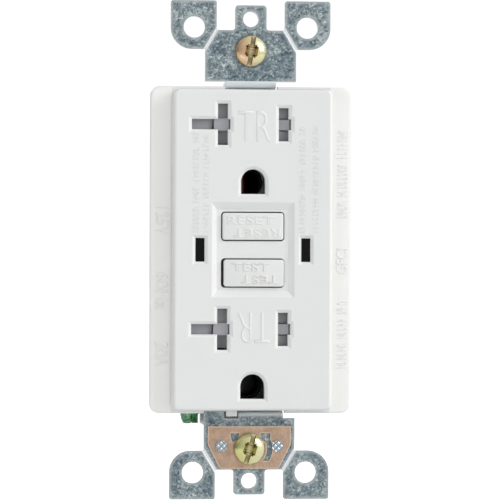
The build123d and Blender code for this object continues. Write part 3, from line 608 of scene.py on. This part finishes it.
def cross_recess(bm, reach, half_width, top, depth):
    """A cutter for a crosshead recess: four arms that taper down to a pit."""
    def ring(scale, height):
        r, w = reach * scale, half_width * (0.35 + 0.65 * scale)
        corners = [(r, -w), (r, w), (w, w), (w, r), (-w, r), (-w, w),
                   (-r, w), (-r, -w), (-w, -w), (-w, -r), (w, -r), (w, -w)]
        return [bm.verts.new((x, y, height)) for x, y in corners]
    upper, lower = ring(1.0, top), ring(0.55, top - depth)
    pit = bm.verts.new((0, 0, top - depth * 1.25))
    bm.faces.new(upper)
    for k in range(12):
        m = (k + 1) % 12
        bm.faces.new((upper[k], lower[k], lower[m], upper[m]))
        bm.faces.new((lower[k], pit, lower[m]))
    return bm


def screw_head(radius, height, dome, slot_width, slot_depth, cross_reach, cross_width):
    """A combination-drive head on Z, flat underside at zero: rounded rim, dome, slot and crosshead."""
    rim = height - dome
    shoulder = rim * 0.75
    profile = [(0, 0), (radius * 0.985, 0), (radius, rim * 0.15), (radius, shoulder)]
    for k in range(1, HEAD_STEPS + 1):
        lean = math.pi / 2 * k / HEAD_STEPS
        reach = radius * math.cos(lean) ** 0.75 if k < HEAD_STEPS else 0.0
        profile.append((reach, shoulder + (height - shoulder) * math.sin(lean)))
    head = to_mesh(lathe(bmesh.new(), profile), "head")
    slot = bmesh.new()
    size = (slot_width, 3 * radius, 2 * slot_depth)
    bmesh.ops.create_cube(slot, size=1.0, matrix=Matrix.Translation((0, 0, height)) @ Matrix.Diagonal((*size, 1.0)))
    head = carve(head, to_mesh(slot, "slot"))
    cross = cross_recess(bmesh.new(), radius * cross_reach, slot_width * cross_width, height + 0.1 * MM,
                         height * 0.85)
    return carve(head, to_mesh(cross, "cross"))


def screw(name, slot, axis, seat, tip_reach, head, thread_r, neck, turn, body):
    """A whole screw: its head beyond seat along axis, its threaded shank the other way."""
    bm = bmesh.new()
    bm.from_mesh(head)
    neck_r, neck_end = neck
    root_r = thread_r - THREAD_DEPTH
    point = -tip_reach
    lathe(bm, [(0, 0.2 * MM), (neck_r, 0.2 * MM), (neck_r, neck_end), (root_r, neck_end - 0.05 * MM),
               (root_r, point + 0.3 * MM), (root_r - 0.3 * MM, point), (0, point)], 40)
    ridge = [(-0.05 * MM, -THREAD_FOOT), (THREAD_DEPTH, -THREAD_CREST), (THREAD_DEPTH, THREAD_CREST),
             (-0.05 * MM, THREAD_FOOT)]
    first, last = point + 0.5 * MM, neck_end - 0.4 * MM
    wind(bm, root_r, ridge, first, last, (last - first) / THREAD_PITCH, 28)
    mesh = to_mesh(bm, name)
    mesh.transform(along(axis, seat, turn))
    return add_piece(name + "_detailed", mesh, slot, body, [name])


def box_screws():
    """The two chromate screws that hold the strap to the wall box, their slots leaning as in the photo."""
    for name, turn in (("box_screw_upper", 9.0), ("box_screw_lower", 16.0)):
        low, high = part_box(name)
        x, z = (low.x + high.x) / 2, (low.z + high.z) / 2
        seat = low.y + BOX_HEAD_HEIGHT
        head = screw_head(BOX_HEAD_R, BOX_HEAD_HEIGHT, 1.45 * MM, 1.0 * MM, 1.05 * MM, 0.42, 1.05)
        screw(name, "chromate", (0, -1, 0), (x, seat, z), high.y - seat, head, 1.7 * MM,
              (1.5 * MM, -(0.47 * MM - seat)), math.radians(-turn), name)


def terminal_screws():
    """The four wire-clamping screws and the green ground screw, heads outwards."""
    slots = {part["node"]: part["material_slot"] for part in frame["record"]["subparts"]}
    names = [f"screw_{end}_{pole}" for end in ("load", "line") for pole in ("hot", "neutral")]
    for name in names + ["ground_screw"]:
        low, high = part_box(name)
        side = 1 if low.x > 0 else -1
        outer, tip = (high.x, low.x) if side > 0 else (low.x, high.x)
        seat = outer - side * TERMINAL_HEAD_HEIGHT
        place = (seat, (low.y + high.y) / 2, (low.z + high.z) / 2)
        turn = 17 + 40 * names.index(name) if name in names else 0
        head = screw_head(TERMINAL_HEAD_R, TERMINAL_HEAD_HEIGHT, 0.5 * MM, 1.0 * MM, 1.1 * MM, 0.55, 0.62)
        screw(name, slots[name], (side, 0, 0), place, abs(seat - tip), head, 2.05 * MM,
              (1.7 * MM, -0.9 * MM), math.radians(turn), name)


# ---- Springs -------------------------------------------------------------------------------
def coil_spring(name, axis, centre, start, end, outer, wire, turns, joint, anchor_at_end, travel, hides):
    """A helical spring between start and end on an axis; with a joint, it gets a mesh of its own."""
    disc = [(wire * math.cos(a), wire * math.sin(a)) for a in [2 * math.pi * k / 8 for k in range(8)]]
    bm = wind(bmesh.new(), outer - wire, disc, start + wire, end - wire, turns, 20, 0.6)
    mesh = to_mesh(bm, name, 80.0)
    mesh.transform(along(axis, centre))
    piece = add_piece(name, mesh, "spring_steel", "root", hides)
    if not joint:
        return
    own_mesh(piece)


SHUTTER_SPRING_R, SHUTTER_WIRE_R, SPRING_GAP = 0.8 * MM, 0.14 * MM, 0.05 * MM


def springs():
    """Every spring, wound where its CAD node stood; the plunger's is passed no joint. Every spring; the
    plunger's keeps its length, since squashing can only shorten and it would stretch.
    """
    travel = {j["name"]: max(abs(v) for v in j.get("range_m", [0])) for j in frame["joints"]}
    for name, joint, letter in (("reset_spring", "reset_press", "y"), ("test_spring", "test_press", "y"),
                                ("carrier_spring", "contact_close", "y"), ("plunger_spring", None, "z")):
        low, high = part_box(name)
        middle = (low + high) / 2
        if letter == "y":
            axis, centre, span = (0, 1, 0), (middle.x, 0, middle.z), (low.y, high.y)
        else:
            axis, centre, span = (0, 0, 1), (middle.x, middle.y, 0), (low.z, high.z)
        outer = (high.x - low.x) / 2
        fixed_end = name != "carrier_spring"
        coil_spring(name + "_wound", axis, centre, *span, outer, outer * 0.15, 6, joint, fixed_end,
                    travel.get(joint, 0), [name])
    low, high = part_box("shutter_springs")
    for word in ("upper", "lower"):
        plate_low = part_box("shutter_plate_" + word)[0]
        slide_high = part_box("shutter_" + word)[1]
        arm_low, arm_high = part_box("arm_shutter_" + word)
        row = (arm_low.z + arm_high.z) / 2
        depth = (low.y + high.y) / 2
        coil_spring(f"shutter_spring_{word}", (1, 0, 0), (0, depth, row), slide_high.x + SPRING_GAP, high.x,
                    SHUTTER_SPRING_R, SHUTTER_WIRE_R, 7,
                    f"shutter_{word}_slide", True, travel[f"shutter_{word}_slide"],
                    ["shutter_springs"])
        coil_spring(f"arm_shutter_spring_{word}", (0, 0, 1), ((arm_low.x + arm_high.x) / 2, depth, 0),
                    plate_low.z + 0.65 * MM, arm_low.z - SPRING_GAP, SHUTTER_SPRING_R, SHUTTER_WIRE_R, 7,
                    f"arm_shutter_{word}_slide", False, travel[f"arm_shutter_{word}_slide"],
                    ["shutter_springs"])


# ---- Moulded marks -------------------------------------------------------------------------
FACE_Y, FLANGE_Y, BUTTON_Y = -7.6 * MM, -2.6 * MM, -7.4 * MM


def moulded_word(name, word, place, width, cap, turn, slot, body, relief=0.10, thin=-0.012, rear=False):
    """A word in low relief on a face that looks along -Y (+Y at the rear), fitted to a width and height."""
    font = bpy.data.curves.new(name, "FONT")
    font.body = word
    font.extrude = 0.001
    font.bevel_depth = 0.022
    font.bevel_resolution = 1
    font.offset = thin
    font.resolution_u = 4
    drawn = bpy.data.objects.new(name, font)
    scene.collection.objects.link(drawn)
    mesh = bpy.data.meshes.new_from_object(drawn.evaluated_get(bpy.context.evaluated_depsgraph_get()))
    bpy.data.objects.remove(drawn)
    points = [v.co for v in mesh.vertices]
    low = Vector([min(c[k] for c in points) for k in range(3)])
    high = Vector([max(c[k] for c in points) for k in range(3)])
    size = high - low
    fit = Matrix.Diagonal((width / size.x, cap / size.y, 2 * relief * MM / size.z, 1.0))
    mesh.transform(fit @ Matrix.Translation(-(low + high) / 2))
    about = Matrix.Rotation(math.radians(180 if rear else 0), 4, "Z")
    facing = about @ Matrix.Rotation(math.radians(90), 4, "X") @ Matrix.Rotation(math.radians(turn), 4, "Z")
    mesh.transform(Matrix.Translation(place) @ facing)
    return add_piece(name, mesh, slot, body)


def function_words():
    """TEST and RESET, each again upside down below, and the tamper-resistant mark by each outlet."""
    for word, turn in (("upper", 0), ("lower", 180)):
        low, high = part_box("arm_shutter_" + word)
        z = (low.z + high.z) / 2 + (-0.4 if turn == 0 else 0.3) * MM
        moulded_word(f"mark_tr_{word}", "TR", (0.15 * MM, FACE_Y, z), 6.7 * MM, 6.3 * MM, turn,
                     "cover_white", "root", 0.16, -0.03)
    for word, node, body, width, relief, places in (
            ("RESET", "reset_button", "reset", 9.8, 0.12, ((-0.6, 1.3, 0), (0.8, -1.4, 180))),
            ("TEST", "test_button", "test", 8.0, 0.18, ((-0.5, 1.25, 0), (1.5, -1.35, 180)))):
        low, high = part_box(node)
        middle = (low.z + high.z) / 2
        for x, up, turn in places:
            name = f"word_{word.lower()}_{'upright' if turn == 0 else 'inverted'}"
            moulded_word(name, word, (x * MM, BUTTON_Y, middle + up * MM), width * MM, 1.8 * MM, turn,
                         "button_white", body, relief, 0.0)


def rating_words():
    """Plain ratings down the left flange and the device's kind up the right one."""
    for word, z, width in (("125V", 5.9, 5.9), ("60Hz", -8.6, 7.8), ("20A", -21.9, 5.4)):
        moulded_word("rating_" + word.lower(), word, (-18.7 * MM, FLANGE_Y, z * MM), width * MM, 2.7 * MM,
                     -90, "cover_white", "root", 0.16, -0.01)
    moulded_word("kind_gfci", "GFCI", (19.2 * MM, FLANGE_Y, -2.2 * MM), 5.4 * MM, 2.4 * MM, 90,
                 "cover_white", "root", 0.16, 0.0)


def rear_mouldings():
    """What the back carries: the pairs' names, which wire goes where, a strip gauge and an empty panel."""
    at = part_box("rear_housing")[1].y
    for word, z, width, cap in (("LOAD", 21.2, 9.0, 2.4), ("LINE", -21.2, 8.0, 2.4),
                                ("WHITE", 25.6, 6.0, 1.4), ("WHITE", -26.6, 6.0, 1.4),
                                ("HOT", 25.6, 3.8, 1.4), ("HOT", -26.6, 3.8, 1.4)):
        x = {"WHITE": -10.0, "HOT": 10.0}.get(word, 0.0)
        side = "upper" if z > 0 else "lower"
        moulded_word(f"rear_{word.lower()}_{side}", word, (x * MM, at, z * MM), width * MM, cap * MM, 0,
                     "housing_white", "root", 0.14, 0.0, True)
    bm = bmesh.new()
    half_x, half_z, rib, edge = 11.0 * MM, 12.0 * MM, 0.5 * MM, 0.1 * MM
    inner, out = at - 0.2 * MM, at + 0.2 * MM
    for z in (-half_z, half_z):
        rounded_bar(bm, (-half_x, inner, z - rib / 2), (half_x, out, z + rib / 2), edge)
    for x in (-half_x, half_x):
        rounded_bar(bm, (x - rib / 2, inner, -half_z + rib), (x + rib / 2, out, half_z - rib), edge)
    gauge_foot = 15.0 * MM
    for step in range(5):
        tall = (6.0 if step in (0, 4) else 3.0) * MM / 2
        x = (step - 2) * 3.0 * MM
        rounded_bar(bm, (x - rib / 2, inner, gauge_foot), (x + rib / 2, out, gauge_foot + tall), edge)
    rounded_bar(bm, (-6.25 * MM, inner, 14.2 * MM), (6.25 * MM, out, 14.7 * MM), edge)
    add_piece("rear_ribs", to_mesh(bm, "rear_ribs"), "housing_white", "root")


def fine_rows(name, columns, seed):
    """Rows of tiny raised strokes where the real face has small print; they spell nothing."""
    chance = random.Random(seed)
    bm = bmesh.new()

    def stroke(x, depth, z, tall, wide):
        size = Matrix.Diagonal((tall, 0.12 * MM, wide, 1.0))
        bmesh.ops.create_cube(bm, size=1.0, matrix=Matrix.Translation((x, depth, z)) @ size)

    for x, bottom, top, cap, depth in columns:
        z = bottom
        while z < top:
            for _ in range(chance.randint(4, 9)):
                if z > top:
                    break
                stroke(x, depth, z, cap, 0.15 * MM)
                shift = chance.choice((-0.36, 0.0, 0.36)) * cap
                stroke(x + shift, depth, z + 0.27 * MM, 0.18 * cap, 0.24 * MM)
                if chance.random() < 0.5:
                    stroke(x - 0.5 * shift, depth, z + 0.55 * MM, 0.6 * cap, 0.13 * MM)
                z += 0.90 * MM
            z += 0.8 * MM
    add_piece(name, to_mesh(bm, name), "cover_white", "root")


def fine_print():
    """Columns of strokes (x, bottom, top, height in mm, and depth) on the face and the right flange."""
    face, flange = FACE_Y + 0.03 * MM, FLANGE_Y + 0.02 * MM
    columns = [(-12.0, 3.7, 24.2, 1.3, face), (-9.9, 3.7, 24.2, 1.2, face),
               (10.2, 3.7, 25.8, 1.4, face), (13.0, 3.7, 25.8, 1.3, face),
               (19.2, 6.9, 25.5, 2.1, flange), (19.2, -24.7, -11.3, 2.1, flange)]
    scaled = [(x * MM, low * MM, high * MM, cap * MM, depth) for x, low, high, cap, depth in columns]
    fine_rows("fine_relief", scaled, 7)


# ---- Small mouldings and pressings ---------------------------------------------------------
ROUND = 0.5                  # the bevel profile of a true arc; the tool's own default cuts a square step
CATCH_LIP = ((-4.95, -2.1, -34.85), (-2.65, 1.8, -33.3))       # corners in mm
CATCH_HOOK = ((-5.5, 0.15, -35.5), (-2.1, 1.6, -34.0))
TEST_CAP_X, TEST_CAP_HALF_HEIGHT, TEST_CAP_BACK_Y = (-6.05 * MM, 6.44 * MM), 2.8 * MM, -1.9 * MM


def block(bm, low, high):
    """A plain block between two corners; gives back its edges and its size."""
    size = [h - l for l, h in zip(low, high)]
    middle = [(l + h) / 2 for l, h in zip(low, high)]
    made = bmesh.ops.create_cube(bm, size=1.0, matrix=Matrix.Translation(middle) @ Matrix.Diagonal((*size, 1.0)))
    return list(dict.fromkeys(edge for vert in made["verts"] for edge in vert.link_edges)), size


def rounded_bar(bm, low, high, radius=0.12 * MM):
    """A bar between two corners with its edges rounded."""
    edges, size = block(bm, low, high)
    bmesh.ops.bevel(bm, geom=edges, offset=min(radius, min(size) * 0.3), segments=2, profile=ROUND,
                    affect="EDGES")


def moulded_cap(bm, low, high, corner_radius, rim_radius):
    """A button's cap: rounded corners seen from the front, then a soft rim round its front face."""
    edges, size = block(bm, low, high)
    corners = [edge for edge in edges if abs(edge.verts[0].co.y - edge.verts[1].co.y) > size[1] / 2]
    bmesh.ops.bevel(bm, geom=corners, offset=corner_radius, segments=6, profile=ROUND, affect="EDGES")
    rim = [edge for edge in bm.edges if all(abs(vert.co.y - low[1]) < 0.01 * MM for vert in edge.verts)]
    bmesh.ops.bevel(bm, geom=rim, offset=rim_radius, segments=3, profile=ROUND, affect="EDGES")


def strap_catch():
    """The cover's lip that reaches through the strap's notch and hooks behind it."""
    bm = bmesh.new()
    for corners in (CATCH_LIP, CATCH_HOOK):
        rounded_bar(bm, *(tuple(value * MM for value in corner) for corner in corners))
    add_piece("cover_catch", to_mesh(bm, "cover_catch"), "cover_white", "root")


def test_button():
    """The TEST button, which sits towards the right of its opening and leaves a dark gap at the left."""
    low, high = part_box("test_button")
    middle = (low.z + high.z) / 2
    bm = bmesh.new()
    left, right = TEST_CAP_X
    moulded_cap(bm, (left, low.y, middle - TEST_CAP_HALF_HEIGHT),
                (right, TEST_CAP_BACK_Y, middle + TEST_CAP_HALF_HEIGHT), 0.5 * MM, 0.2 * MM)
    rounded_bar(bm, (low.x, -2.0 * MM, low.z), (high.x, -1.0 * MM, high.z), 0.1 * MM)
    stem = bmesh.new()
    stem_r, stem_root, tip_edge = 1.3 * MM, 1.5 * MM, 0.2 * MM
    lathe(stem, [(0, stem_root), (stem_r, stem_root), (stem_r, -high.y + tip_edge), (stem_r - tip_edge, -high.y),
                 (0, -high.y)], 40)
    bmesh.ops.transform(stem, matrix=along((0, -1, 0), (0, 0, middle)), verts=stem.verts)
    rod = bpy.data.meshes.new("stem")
    stem.to_mesh(rod)
    stem.free()
    bm.from_mesh(rod)
    add_piece("test_button_moulded", to_mesh(bm, "test_button"), "button_white", "test", ["test_button"])


def bent_test_leaf():
    """The TEST contact's leaf, which gives towards the board as the button goes in."""
    low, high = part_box("test_leaf")
    bm = bmesh.new()
    sheet = 0.35 * MM
    rounded_bar(bm, (low.x, low.y, low.z), (high.x, low.y + sheet, high.z), 0.08 * MM)
    inset = 0.03 * MM            # keeps the foot's faces clear of the blade's where the two overlap
    rounded_bar(bm, (low.x + inset, low.y + sheet / 2, low.z + inset), (high.x - inset, high.y, low.z + sheet),
                0.08 * MM)
    piece = add_piece("test_leaf_bent", to_mesh(bm, "test_leaf_bent"), "brass", "root", ["test_leaf"])
    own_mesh(piece)


box_screws()
terminal_screws()
springs()
strap_catch()
test_button()
bent_test_leaf()
function_words()
rating_words()
fine_print()
rear_mouldings()


# ---- Camera, light and floor ---------------------------------------------------------------
STRAP_SPAN = 105.05 * MM     # what the picture's width takes in at the strap
CAMERA_DISTANCE = 0.65
CAMERA_AZIMUTH = math.radians(-6.0)
CAMERA_ROLL = math.radians(0.24)
CAMERA_ASIDE = 0.12 * MM     # the picture's middle lies this far to the right of the strap's
SENSOR_WIDTH = 36.0
FLOOR_Z, FLOOR_R = -0.075, 6.0


def make_camera():
    """The photo's camera: level, a little from the left, with the strap filling the height."""
    data = bpy.data.cameras.new("camera")
    camera = bpy.data.objects.new("camera", data)
    scene.collection.objects.link(camera)
    data.sensor_width = SENSOR_WIDTH
    data.lens = SENSOR_WIDTH * CAMERA_DISTANCE / STRAP_SPAN
    data.clip_start, data.clip_end = 0.01, 50.0
    back = Vector((math.sin(CAMERA_AZIMUTH), -math.cos(CAMERA_AZIMUTH), 0.0))
    turn = (-back).to_track_quat("-Z", "Y")
    aside = turn @ Vector((CAMERA_ASIDE, 0, 0))
    roll = Matrix.Rotation(CAMERA_ROLL, 4, "Z")
    camera.matrix_world = Matrix.Translation(back * CAMERA_DISTANCE + aside) @ turn.to_matrix().to_4x4() @ roll
    scene.camera = camera


def area_light(name, power, size, place):
    """A square softbox that faces the middle of the object."""
    data = bpy.data.lights.new(name, "AREA")
    data.energy = power
    data.size = size
    light = bpy.data.objects.new(name, data)
    light.location = place
    light.rotation_euler = (-Vector(place)).to_track_quat("-Z", "Y").to_euler()
    scene.collection.objects.link(light)
    return light


def seen_or_lit(tree, seen, lit):
    """A strength that is one value where the camera looks at it and another where it lights things."""
    path = tree.nodes.new("ShaderNodeLightPath")
    choose = tree.nodes.new("ShaderNodeMapRange")
    choose.inputs["To Max"].default_value = seen
    if isinstance(lit, bpy.types.NodeSocket):
        tree.links.new(lit, choose.inputs["To Min"])
    else:
        choose.inputs["To Min"].default_value = lit
    tree.links.new(path.outputs["Is Camera Ray"], choose.inputs["Value"])
    return choose.outputs["Result"]


BRIGHT_SIDE = (0.80, -0.36, 0.48)      # the studio is lighter towards the right, the front and the top
STUDIO_LIGHT, STUDIO_CONTRAST = 0.47, 0.80


def make_world():
    """White where the camera sees it, and a soft gradient towards the bright side as light."""
    world = bpy.data.worlds.new("studio")
    world.use_nodes = True
    tree = world.node_tree
    background = tree.nodes["Background"]
    background.inputs["Color"].default_value = (1.0, 1.0, 1.0, 1.0)
    lean = tree.nodes.new("ShaderNodeVectorMath")
    lean.operation = "DOT_PRODUCT"
    lean.inputs[1].default_value = BRIGHT_SIDE
    tree.links.new(tree.nodes.new("ShaderNodeTexCoord").outputs["Generated"], lean.inputs[0])
    light = tree.nodes.new("ShaderNodeMapRange")
    light.inputs["From Min"].default_value = -1.0
    light.inputs["To Min"].default_value = STUDIO_LIGHT * (1 - STUDIO_CONTRAST)
    light.inputs["To Max"].default_value = STUDIO_LIGHT * (1 + STUDIO_CONTRAST)
    tree.links.new(lean.outputs["Value"], light.inputs["Value"])
    tree.links.new(seen_or_lit(tree, 1.05, light.outputs["Result"]), background.inputs["Strength"])
    scene.world = world


def make_floor():
    """A plain pale floor well below the object, bright enough to meet the backdrop unseen."""
    bm = bmesh.new()
    bmesh.ops.create_circle(bm, cap_ends=True, segments=96, radius=FLOOR_R)
    mesh = bpy.data.meshes.new("floor")
    bm.to_mesh(mesh)
    floor = bpy.data.objects.new("floor", mesh)
    floor.location = (0, 0, FLOOR_Z)
    scene.collection.objects.link(floor)
    paint = Paint("floor_pale")
    paint.colour(paint.ramp(paint.noise(3.0), (0.4, 0.86), (0.6, 0.9)))
    paint.set(Roughness=0.9, Emission_Color=(1.0, 1.0, 1.0, 1.0))
    paint.link(seen_or_lit(paint.tree, 0.75, 0.0), paint.shader.inputs["Emission Strength"])
    mesh.materials.append(paint.material)


make_camera()
make_world()
make_floor()
area_light("key", 1.8, 0.35, (0.58, -0.52, 0.33))
area_light("fill", 0.30, 0.20, (-0.24, -0.32, 0.02)).visible_glossy = False
area_light("back", 1.6, 0.40, (-0.50, 0.60, 0.35))
scene.view_settings.view_transform = "Standard"
scene.cycles.use_denoising = True
